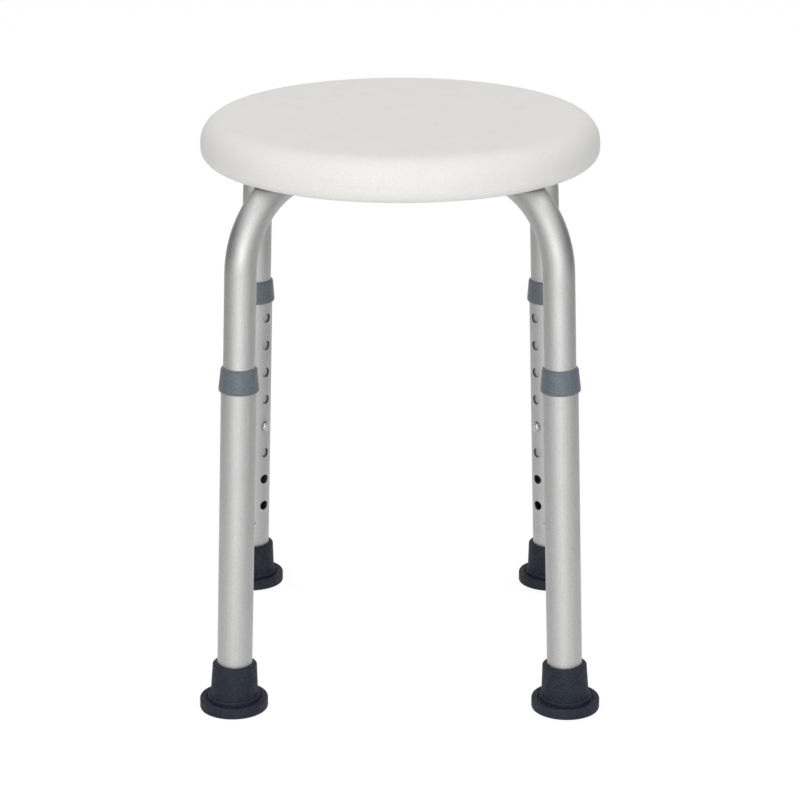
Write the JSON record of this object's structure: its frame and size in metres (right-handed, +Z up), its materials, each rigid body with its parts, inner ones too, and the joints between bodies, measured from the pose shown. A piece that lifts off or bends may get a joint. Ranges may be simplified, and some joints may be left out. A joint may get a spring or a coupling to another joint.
{
  "type": "shower stool",
  "caption": "Round backless shower stool: white moulded seat on crossing aluminium tube legs that telescope, each held by a sprung button, with rubber feet.",
  "frame": {"origin": "on the floor, under the middle of the seat", "axes": "+Z up; -Y is the side the viewer faces, -X its left; the legs stand on the diagonals"},
  "size_m": [0.3214, 0.3214, 0.456],
  "materials": {
    "seat_plastic": "fine satin stipple, white polyethylene",
    "tube_aluminium": "satin anodised, fine lengthwise brushing",
    "spring_steel": "rolled strip",
    "screw_steel": "zinc plated",
    "insert_brass": "knurled brass",
    "lower_tube_aluminium": "satin anodised, fine lengthwise brushing",
    "collar_plastic": "slate grey, satin",
    "tip_rubber": "dark blue-black, matt",
    "washer_steel": "plain zinc plated",
    "button_steel": "bright, rolled"
  },
  "bodies": {
    "frame": {"seat": "seat_plastic", "hoop_lower": "tube_aluminium", "hoop_upper": "tube_aluminium", "spring_front_left": "spring_steel", "spring_front_right": "spring_steel", "spring_rear_right": "spring_steel", "spring_rear_left": "spring_steel", "frame_screws": "screw_steel", "frame_washers": "screw_steel", "threaded_inserts": "insert_brass"},
    "lower_leg_front_left": {"leg_front_left": "lower_tube_aluminium", "collar_front_left": "collar_plastic", "tip_front_left": "tip_rubber", "tip_plate_front_left": "washer_steel"},
    "snap_button_front_left": {"button_front_left": "button_steel"},
    "lower_leg_front_right": {"leg_front_right": "lower_tube_aluminium", "collar_front_right": "collar_plastic", "tip_front_right": "tip_rubber", "tip_plate_front_right": "washer_steel"},
    "snap_button_front_right": {"button_front_right": "button_steel"},
    "lower_leg_rear_right": {"leg_rear_right": "lower_tube_aluminium", "collar_rear_right": "collar_plastic", "tip_rear_right": "tip_rubber", "tip_plate_rear_right": "washer_steel"},
    "snap_button_rear_right": {"button_rear_right": "button_steel"},
    "lower_leg_rear_left": {"leg_rear_left": "lower_tube_aluminium", "collar_rear_left": "collar_plastic", "tip_rear_left": "tip_rubber", "tip_plate_rear_left": "washer_steel"},
    "snap_button_rear_left": {"button_rear_left": "button_steel"}
  },
  "joints": [
    {"name": "leg_front_left_height", "type": "slide", "parent": "frame", "child": "lower_leg_front_left", "axis": [-0.0308, -0.0308, -0.999], "range_m": [-0.075, 0.1], "deforming": ["button_front_left", "spring_front_left"]},
    {"name": "button_front_left_press", "type": "slide", "parent": "frame", "child": "snap_button_front_left", "axis": [-0.7064, -0.7064, 0.0436], "range_m": [0, 0.005], "stiffness_N_per_m": 1500, "springref_m": -0.001, "deforming": ["spring_front_left"]},
    {"name": "leg_front_right_height", "type": "slide", "parent": "frame", "child": "lower_leg_front_right", "axis": [0.0308, -0.0308, -0.999], "range_m": [-0.075, 0.1], "deforming": ["button_front_right", "spring_front_right"]},
    {"name": "button_front_right_press", "type": "slide", "parent": "frame", "child": "snap_button_front_right", "axis": [0.7064, -0.7064, 0.0436], "range_m": [0, 0.005], "stiffness_N_per_m": 1500, "springref_m": -0.001, "deforming": ["spring_front_right"]},
    {"name": "leg_rear_right_height", "type": "slide", "parent": "frame", "child": "lower_leg_rear_right", "axis": [0.0308, 0.0308, -0.999], "range_m": [-0.075, 0.1], "deforming": ["button_rear_right", "spring_rear_right"]},
    {"name": "button_rear_right_press", "type": "slide", "parent": "frame", "child": "snap_button_rear_right", "axis": [0.7064, 0.7064, 0.0436], "range_m": [0, 0.005], "stiffness_N_per_m": 1500, "springref_m": -0.001, "deforming": ["spring_rear_right"]},
    {"name": "leg_rear_left_height", "type": "slide", "parent": "frame", "child": "lower_leg_rear_left", "axis": [-0.0308, 0.0308, -0.999], "range_m": [-0.075, 0.1], "deforming": ["button_rear_left", "spring_rear_left"]},
    {"name": "button_rear_left_press", "type": "slide", "parent": "frame", "child": "snap_button_rear_left", "axis": [-0.7064, 0.7064, 0.0436], "range_m": [0, 0.005], "stiffness_N_per_m": 1500, "springref_m": -0.001, "deforming": ["spring_rear_left"]}
  ]
}
